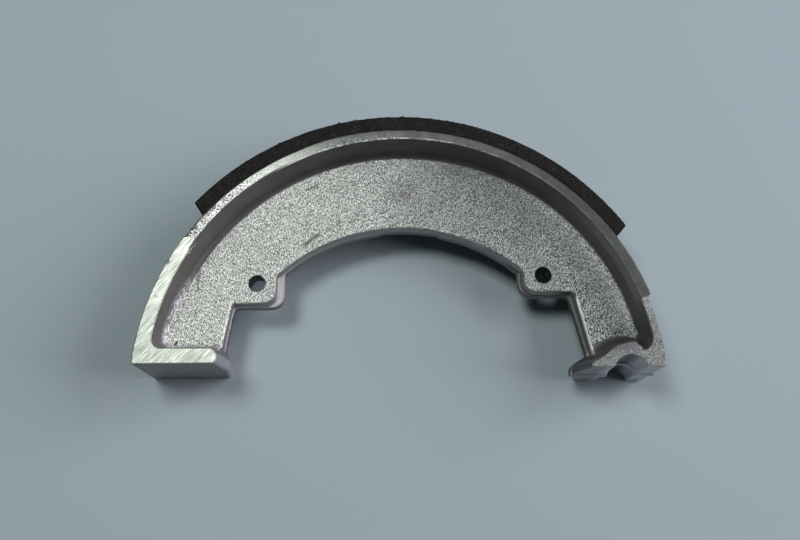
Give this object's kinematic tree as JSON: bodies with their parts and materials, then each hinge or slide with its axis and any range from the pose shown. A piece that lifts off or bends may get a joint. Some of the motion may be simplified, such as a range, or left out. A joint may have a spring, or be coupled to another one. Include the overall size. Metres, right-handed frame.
{
  "type": "brake shoe",
  "caption": "Curved cast brake shoe with a bonded friction lining, a flat cam foot, a half round pivot seat and ears for return springs.",
  "frame": {"origin": "axis of the brake drum, level with the lower side of the shoe", "axes": "+Z along the drum axis, +Y through the middle of the lining, +X towards the pivot end"},
  "size_m": [0.1656, 0.0861, 0.0286],
  "materials": {
    "cast_aluminium": "as cast and grainy, with ground side faces and a turned rim",
    "friction_material": "matte moulded friction material with fine pale flecks"
  },
  "bodies": {
    "root": {"shoe_casting": "cast_aluminium", "friction_lining": "friction_material"}
  },
  "joints": []
}
